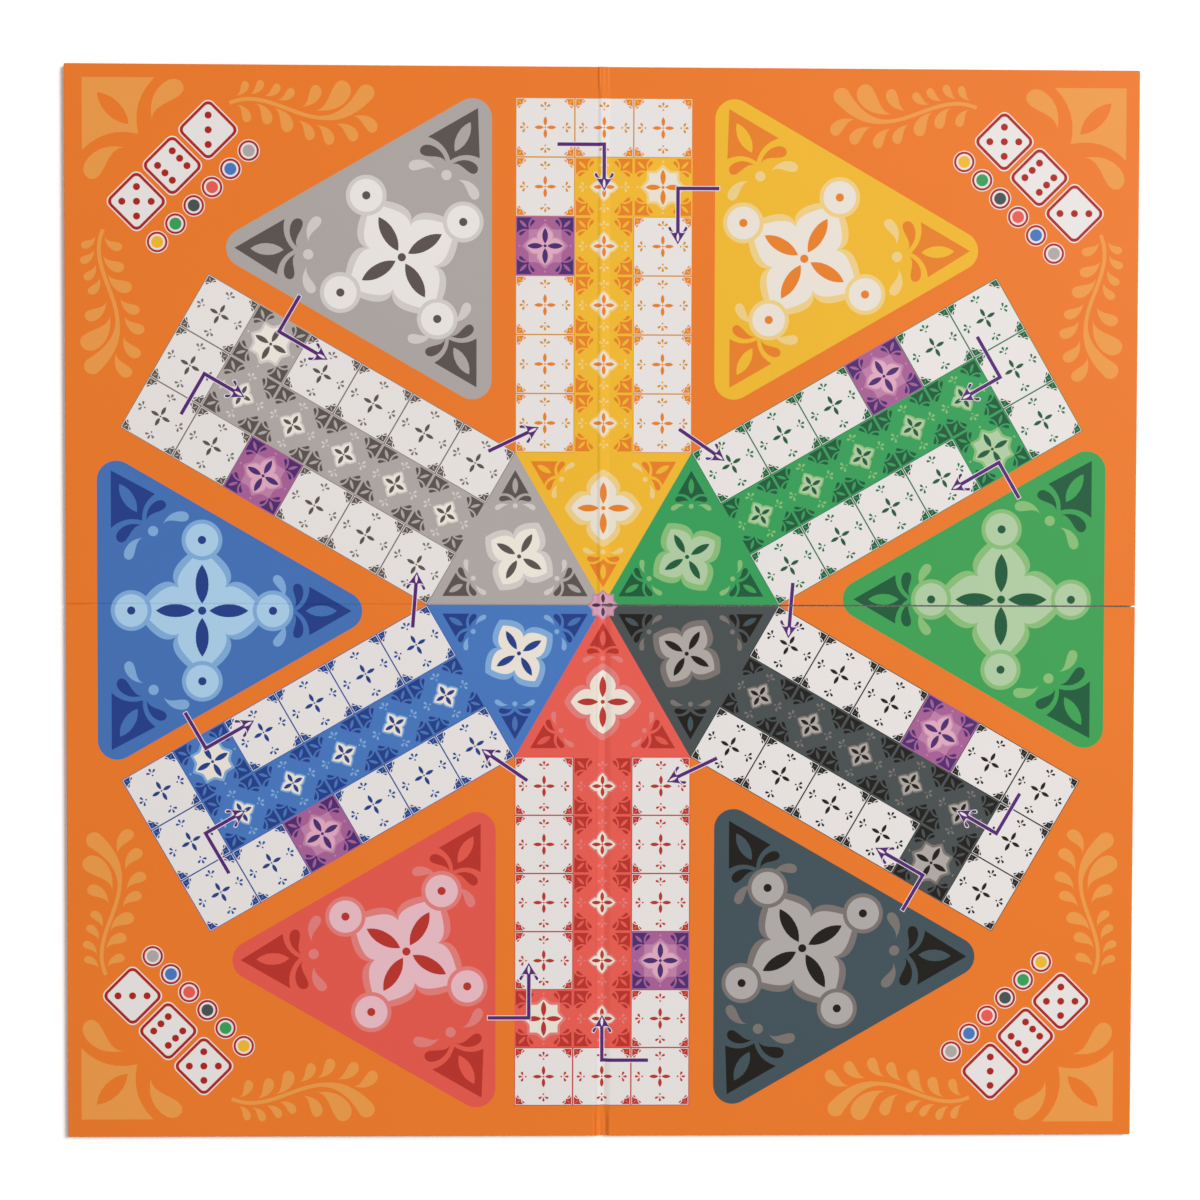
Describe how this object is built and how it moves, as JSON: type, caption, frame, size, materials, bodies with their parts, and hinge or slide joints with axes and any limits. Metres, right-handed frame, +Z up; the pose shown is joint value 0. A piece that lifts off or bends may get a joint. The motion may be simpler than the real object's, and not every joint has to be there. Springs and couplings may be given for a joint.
{
  "type": "ludo board",
  "caption": "Square folding ludo board: printed greyboard panels on tape hinges, with a slit, that fold in half and then round themselves into a flat stack.",
  "frame": {"origin": "under the middle of the open board, on the surface that it lies on", "axes": "+Z up out of the print, +X to the right of the print, +Y towards its upper edge"},
  "size_m": [0.48, 0.48, 0.0033],
  "materials": {
    "printed_sheet": "satin",
    "greyboard": "matte",
    "back_liner": "matte",
    "hinge_tape": "matte"
  },
  "bodies": {
    "lower_left_panel": {"lower_left_greyboard": "greyboard", "lower_left_printed_face": "printed_sheet", "lower_left_back_liner": "back_liner", "lower_fold_printed_strip": "printed_sheet", "lower_fold_hinge_tape": "hinge_tape", "left_fold_printed_strip": "printed_sheet", "left_fold_hinge_tape": "hinge_tape"},
    "upper_left_panel": {"upper_left_greyboard": "greyboard", "upper_left_printed_face": "printed_sheet", "upper_left_back_liner": "back_liner", "upper_fold_printed_strip": "printed_sheet", "upper_fold_hinge_tape": "hinge_tape"},
    "upper_right_panel": {"upper_right_greyboard": "greyboard", "upper_right_printed_face": "printed_sheet", "upper_right_back_liner": "back_liner"},
    "lower_right_panel": {"lower_right_greyboard": "greyboard", "lower_right_printed_face": "printed_sheet", "lower_right_back_liner": "back_liner"}
  },
  "joints": [
    {"name": "left_fold", "type": "hinge", "parent": "lower_left_panel", "child": "upper_left_panel", "pos_m": [-0.12, 0, 0.00285], "axis": [1, 0, 0], "range_deg": [0, 179.9], "deforming": ["left_fold_printed_strip", "left_fold_hinge_tape"]},
    {"name": "upper_fold", "type": "hinge", "parent": "upper_left_panel", "child": "upper_right_panel", "pos_m": [0, 0.12, -0.00025], "axis": [0, 1, 0], "range_deg": [0, 179.9], "deforming": ["upper_fold_printed_strip", "upper_fold_hinge_tape"]},
    {"name": "lower_fold", "type": "hinge", "parent": "lower_left_panel", "child": "lower_right_panel", "pos_m": [0, -0.12, 0.0061], "axis": [0, -1, 0], "range_deg": [0, 179.9], "deforming": ["lower_fold_printed_strip", "lower_fold_hinge_tape"]}
  ]
}
